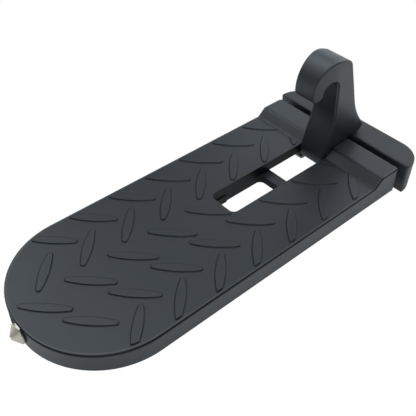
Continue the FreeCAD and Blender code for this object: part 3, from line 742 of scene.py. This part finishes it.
def mesh_object(name: str, points: np.ndarray, faces: list[tuple[int, ...]]) -> bpy.types.Object:
    """Makes a mesh object of points in metres, with coinciding points merged and faces turned outwards.

    Args:
        name: the object's name.
        points: an array of n by 3 coordinates in millimetres.
        faces: the corner numbers of each face.

    Returns:
        The object, linked to the scene, at the origin.
    """
    mesh = bpy.data.meshes.new(name)
    mesh.from_pydata((points / MM_PER_M).tolist(), [], faces)
    shell = bmesh.new()
    shell.from_mesh(mesh)
    bmesh.ops.remove_doubles(shell, verts=shell.verts, dist=MERGE_DISTANCE)
    bmesh.ops.dissolve_degenerate(shell, edges=shell.edges, dist=SLIVER_LENGTH)
    bmesh.ops.recalc_face_normals(shell, faces=shell.faces)
    shell.to_mesh(mesh)
    shell.free()
    piece = bpy.data.objects.new(name, mesh)
    bpy.context.scene.collection.objects.link(piece)
    return piece


def ring_faces(rings: int, count: int) -> list[tuple[int, ...]]:
    """Joins stacked closed rings by quads.

    Args:
        rings: how many rings there are.
        count: how many points each ring has.

    Returns:
        The corner numbers of each quad.
    """
    level, step = np.meshgrid(np.arange(rings - 1), np.arange(count), indexing="ij")
    first = level * count + step
    second = level * count + (step + 1) % count
    quads = np.stack([first, second, second + count, first + count], axis=-1).reshape(-1, 4)
    return [tuple(quad) for quad in quads.tolist()]


@dataclass
class MouldedBumper:
    """The moulded rubber bar behind the platform, in millimetres.

    Its counts of rings are for a rounded edge, for the wall over or under the parting line, for that line's
    ridge and for the top or the foot, each with the rings at both ends.
    """

    front: float = 89.5
    depth: float = 14.8
    half_length: float = 42.6
    front_corner: float = 1.0
    rear_corner: float = 13.6
    top: float = 16.6
    taper: float = 0.4
    top_round: float = 0.9
    foot_round: float = 0.5
    flash: float = 0.07
    flash_height: float = 8.3
    flash_reach: float = 0.6
    flash_width: float = 0.22
    sink: float = 0.08
    spine_x: float = 96.2
    spine_half: float = 28.0
    straight_steps: int = 72
    corner_steps: int = 14
    edge_rings: int = 7
    wall_rings: int = 8
    flash_rings: int = 13
    cap_rings: int = 9
    tongue: tuple[Point, Point] = ((86.0, -36.02, 5.38), (98.32, 36.02, 10.42))
    screw_x: float = 94.3
    screw_sides: tuple[float, ...] = (-26.0, 0.0, 26.0)
    bore_radius: float = 4.7
    bore_lead: float = 0.4
    bore_steps: int = 48
    below_foot: float = 0.1
    overlap: float = 0.5
    lip_floor: float = 3.4
    hole_radius: float = 2.03
    sharp_deg: float = 32.0

    def outline(self, inset: np.ndarray) -> np.ndarray:
        """The bar's plan at each inset: a rectangle with two small front corners and two large rear ones.

        Each corner is a quarter circle of the corner's radius less the inset, about a fixed middle, and the straight
        runs between them have equal steps, the same number at the front and the rear.

        Args:
            inset: one inset for each ring.

        Returns:
            An array of rings by points by 2.
        """
        inset = inset[:, None]
        half, front, rear = self.half_length, self.front, self.front + self.depth
        run = np.linspace(-1.0, 1.0, self.straight_steps)[None, :]
        turn = np.linspace(0.0, pi / 2, self.corner_steps + 2)[None, 1:-1]
        small, large = self.front_corner, self.rear_corner
        ones = np.ones_like(inset)
        parts = [
            (front + inset + 0 * run, (half - small) * run * ones),
            (front + small - (small - inset) * np.cos(turn), half - small + (small - inset) * np.sin(turn)),
            (rear - large + (large - inset) * np.sin(turn), half - large + (large - inset) * np.cos(turn)),
            (rear - inset + 0 * run, -(half - large) * run * ones),
            (rear - large + (large - inset) * np.cos(turn), large - half - (large - inset) * np.sin(turn)),
            (front + small - (small - inset) * np.sin(turn), small - half - (small - inset) * np.cos(turn)),
        ]
        return np.stack([np.concatenate([part[axis] for part in parts], axis=1) for axis in (0, 1)], axis=-1)

    def spine(self) -> np.ndarray:
        """The line inside the bar that the top and the foot close on.

        Returns:
            An array of points by 2, with one point for each point of the outline.
        """
        run = np.linspace(-1.0, 1.0, self.straight_steps)
        corner = np.ones(2 * self.corner_steps)
        side = np.concatenate([run, corner, -run, -corner]) * self.spine_half
        return np.stack([np.full_like(side, self.spine_x), side], axis=-1)

    def walls(self) -> tuple[np.ndarray, np.ndarray]:
        """The rings from the foot's edge to the top's edge.

        The foot and the top edge are quarter circles. Between them the inset falls evenly from the taper to 0, with
        a fine ridge of the mould's parting line, a bell curve of height.

        Returns:
            The inset and the height of each ring.
        """
        turn = np.linspace(0.0, pi / 2, self.edge_rings)
        reach = self.flash_reach
        height = np.concatenate([
            self.foot_round * (1 - np.cos(turn)),
            np.linspace(self.foot_round, self.flash_height - reach, self.wall_rings)[1:-1],
            self.flash_height + np.linspace(-reach, reach, self.flash_rings),
            np.linspace(self.flash_height + reach, self.top - self.top_round, self.wall_rings)[1:-1],
            self.top - self.top_round * (1 - np.sin(turn)),
        ])
        low = self.foot_round * (1 - np.sqrt(np.clip(1 - (1 - height / self.foot_round) ** 2, 0, 1)))
        low = np.where(height < self.foot_round, low, 0)
        rise = np.clip((height - self.top + self.top_round) / self.top_round, 0, 1)
        high = self.top_round * (1 - np.sqrt(np.clip(1 - rise ** 2, 0, 1)))
        ridge = self.flash * np.exp(-((height - self.flash_height) / self.flash_width) ** 2)
        return self.taper * (1 - height / self.top) + low + high - ridge, height

    def surface(self) -> np.ndarray:
        """Every ring of the closed skin, from the middle of the foot to the middle of the top.

        On a cap the ring at share q is the edge ring times 1 - q plus the spine times q, and the height falls, at the
        top, or rises, at the foot, by the sink times the sine of a quarter turn times q.

        Returns:
            An array of rings by points by 3.
        """
        inset, height = self.walls()
        rings = self.outline(inset)
        share = np.linspace(1.0, 0.0, self.cap_rings)[:-1, None, None]
        spine = self.spine()[None]
        foot = rings[:1] * (1 - share) + spine * share
        top = (rings[-1:] * (1 - share) + spine * share)[::-1]
        dish = self.sink * np.sin(pi / 2 * share[:, 0, 0])
        flat = np.concatenate([foot, rings, top])
        level = np.concatenate([dish, height, self.top - dish[::-1]])
        return np.concatenate([flat, np.broadcast_to(level[:, None, None], (*flat.shape[:2], 1))], axis=-1)

    def cutter(self, rings: np.ndarray) -> bpy.types.Object:
        """Makes a closed solid that cuts the bar and is then removed.

        Args:
            rings: an array of rings by points by 3.

        Returns:
            The solid.
        """
        count = rings.shape[1]
        faces = ring_faces(len(rings), count)
        faces += [tuple(range(count)), tuple(range((len(rings) - 1) * count, len(rings) * count))]
        return mesh_object("cutter", rings.reshape(-1, 3), faces)

    def cutters(self) -> list[bpy.types.Object]:
        """Makes the solids that cut the tongue's pocket and each screw's counterbore and hole.

        A bore is widened by its lead at the foot, and the tools reach a little past the faces that they cut.

        Returns:
            The solids.
        """
        (x0, y0, z0), (x1, y1, z1) = self.tongue
        square = np.array([[x0, y0], [x1, y0], [x1, y1], [x0, y1]])
        shapes = [np.stack([np.column_stack([square, np.full(len(square), z)]) for z in (z0, z1)])]
        turn = np.linspace(0.0, 2 * pi, self.bore_steps, endpoint=False)
        bore, lead = self.bore_radius, self.bore_lead
        tools = (
            ((bore + lead, bore, bore), (-self.below_foot, lead, self.lip_floor)),
            ((self.hole_radius, self.hole_radius), (self.lip_floor - self.overlap, z0 + self.overlap)),
        )
        for side in self.screw_sides:
            for radii, heights in tools:
                shapes.append(np.stack([
                    np.column_stack([self.screw_x + radius * np.cos(turn), side + radius * np.sin(turn),
                                     np.full(turn.size, level)])
                    for radius, level in zip(radii, heights)
                ]))
        return [self.cutter(shape) for shape in shapes]

    def build(self, material: bpy.types.Material) -> bpy.types.Object:
        """Builds the bar, cuts its pocket and bores, and puts it in the rubber node's place.

        Args:
            material: the rubber's material.

        Returns:
            The bar.
        """
        rings = self.surface()
        bar = mesh_object("moulded_bumper", rings.reshape(-1, 3), ring_faces(*rings.shape[:2]))
        tools = self.cutters()
        for tool in tools:
            cut = bar.modifiers.new("cut", "BOOLEAN")
            cut.operation, cut.solver, cut.object = "DIFFERENCE", "EXACT", tool
        graph = bpy.context.evaluated_depsgraph_get()
        finished = bpy.data.meshes.new_from_object(bar.evaluated_get(graph))
        bar.modifiers.clear()
        bar.data = finished
        for tool in tools:
            bpy.data.objects.remove(tool)
        finished.materials.clear()
        finished.materials.append(material)
        smooth_faces(finished, self.sharp_deg)
        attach(bar, Body.PLATE.value)
        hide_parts("rubber_bumper")
        log.info("moulded_bumper: %d faces", len(finished.polygons))
        return bar


def smooth_faces(mesh: bpy.types.Mesh, limit_deg: float) -> None:
    """Shades a mesh smooth, but sharp at edges that bend by more than the limit.

    Args:
        mesh: the mesh.
        limit_deg: the limit.
    """
    mesh.polygons.foreach_set("use_smooth", np.ones(len(mesh.polygons), bool))
    mesh.set_sharp_from_angle(angle=radians(limit_deg))
    mesh.update()


@dataclass(frozen=True)
class Softbox:
    """A square studio light on a sphere round the step, facing it."""

    name: str
    azimuth_deg: float
    height_deg: float
    side: float
    watts: float
    tint: Colour = (0.92, 1.0, 1.07)
    distance: float = 3.0

    def build(self) -> None:
        """Adds the light.

        Its place is distance times (cos h cos a, cos h sin a, sin h), for azimuth a and height h, and its -Z axis
        points back along that line.
        """
        azimuth, height = radians(self.azimuth_deg), radians(self.height_deg)
        flat = cos(height)
        place = self.distance * Vector((flat * cos(azimuth), flat * sin(azimuth), sin(height)))
        data = bpy.data.lights.new(self.name, "AREA")
        data.shape = "SQUARE"
        data.size = self.side
        data.energy = self.watts
        data.color = self.tint
        lamp = bpy.data.objects.new(self.name, data)
        bpy.context.scene.collection.objects.link(lamp)
        lamp.location = place
        lamp.rotation_euler = (-place).to_track_quat("-Z", "Y").to_euler()


@dataclass
class Studio:
    """The pale floor, the surround, the soft lights and the camera."""

    floor_side: float = 6.0
    floor_glow: float = 1.0
    floor_matt: Colour = (0.88, 0.88, 0.88)
    floor_lift: float = 0.33
    ambient: Colour = (0.92, 1.0, 1.06)
    ambient_strength: float = 0.03
    eye: Point = (-0.15153, -0.16623, 0.22086)
    aim: Point = (-0.00426, -0.00181, 0.0177)
    roll_deg: float = 0.813
    focal_mm: float = 57.718
    sensor_mm: float = 36.0
    clip_start: float = 0.01
    softboxes: tuple[Softbox, ...] = (
        Softbox("overhead", 80.0, 74.0, 2.2, 31.5),
        Softbox("near", 238.0, 34.0, 1.4, 24.5),
        Softbox("far", 92.0, 38.0, 1.7, 12.0),
        Softbox("far_left", 135.0, 46.0, 1.6, 11.5),
        Softbox("right", 0.0, 36.0, 1.4, 25.0),
        Softbox("right_front", 330.0, 14.0, 1.4, 13.0),
        Softbox("right_back", 33.0, 26.0, 1.4, 11.5),
        Softbox("left", 208.0, 20.0, 1.5, 3.0),
        Softbox("left_back", 150.0, 12.0, 1.6, 4.0),
        Softbox("far_high", 88.0, 52.0, 1.1, 7.0),
    )

    def build(self) -> None:
        """Builds the floor, the world, the lights and the camera."""
        self.floor()
        self.world()
        for box in self.softboxes:
            box.build()
        self.camera()
        log.info("studio: floor, world, %d lights and camera", len(self.softboxes))

    def floor(self) -> None:
        """A square floor at height 0.

        It looks white to the camera, lights the step as a matt floor with a faint light of its own, and is clear
        from below, so that the underside can be looked at.
        """
        half = self.floor_side / 2
        corners = half * np.array([[-1, -1, 0], [1, -1, 0], [1, 1, 0], [-1, 1, 0]], float)
        mesh = bpy.data.meshes.new("floor")
        mesh.from_pydata(corners.tolist(), [], [(0, 1, 2, 3)])
        board = bpy.data.objects.new("floor", mesh)
        bpy.context.scene.collection.objects.link(board)
        material = bpy.data.materials.new("pale_floor")
        material.use_nodes = True
        desk = Tree(material.node_tree)
        material.node_tree.nodes.remove(material.node_tree.nodes["Principled BSDF"])
        matt = desk.add("BsdfDiffuse", Color=self.floor_matt)
        lift = desk.add("Emission", Color=PLAIN_WHITE, Strength=self.floor_lift)
        lit = desk.add("AddShader")
        desk.feed(lit.inputs[0], matt.outputs[0])
        desk.feed(lit.inputs[1], lift.outputs[0])
        glow = desk.add("Emission", Color=PLAIN_WHITE, Strength=self.floor_glow)
        pick = desk.add("MixShader", Fac=desk.add("LightPath").outputs["Is Camera Ray"])
        desk.feed(pick.inputs[1], lit.outputs[0])
        desk.feed(pick.inputs[2], glow.outputs[0])
        sides = desk.add("MixShader", Fac=desk.add("NewGeometry").outputs["Backfacing"])
        desk.feed(sides.inputs[1], pick.outputs[0])
        desk.feed(sides.inputs[2], desk.add("BsdfTransparent").outputs[0])
        desk.feed(material.node_tree.nodes["Material Output"].inputs["Surface"], sides.outputs[0])
        mesh.materials.append(material)

    def world(self) -> None:
        """A faint, even, cool surround, which looks as white as the floor to the camera."""
        world = bpy.data.worlds.new("surround")
        world.use_nodes = True
        desk = Tree(world.node_tree)
        faint = world.node_tree.nodes["Background"]
        desk.feed(faint.inputs["Color"], self.ambient)
        desk.feed(faint.inputs["Strength"], self.ambient_strength)
        white = desk.add("Background", Color=PLAIN_WHITE, Strength=self.floor_glow)
        pick = desk.add("MixShader", Fac=desk.add("LightPath").outputs["Is Camera Ray"])
        desk.feed(pick.inputs[1], faint.outputs[0])
        desk.feed(pick.inputs[2], white.outputs[0])
        desk.feed(world.node_tree.nodes["World Output"].inputs["Surface"], pick.outputs[0])
        bpy.context.scene.world = world

    def camera(self) -> None:
        """A camera at the eye that looks at the aim, turned about its line of sight by the roll."""
        data = bpy.data.cameras.new("camera")
        data.sensor_fit = "HORIZONTAL"
        data.sensor_width = self.sensor_mm
        data.lens = self.focal_mm
        data.clip_start = self.clip_start
        camera = bpy.data.objects.new("camera", data)
        bpy.context.scene.collection.objects.link(camera)
        sight = Vector(self.aim) - Vector(self.eye)
        turn = sight.to_track_quat("-Z", "Y").to_matrix().to_4x4()
        camera.matrix_world = Matrix.Translation(self.eye) @ turn @ Matrix.Rotation(radians(self.roll_deg), 4, "Z")
        bpy.context.scene.camera = camera


def main() -> None:
    """Builds the studio and dresses the step."""
    logging.basicConfig(level=logging.INFO, format="%(name)s: %(message)s")
    bpy.context.scene.view_settings.view_transform = "Standard"
    Studio().build()
    dresser = Dresser(Effects())
    dresser.dress()
    MouldedBumper().build(dresser.material(RUBBER))


if __name__ == "__main__":
    main()
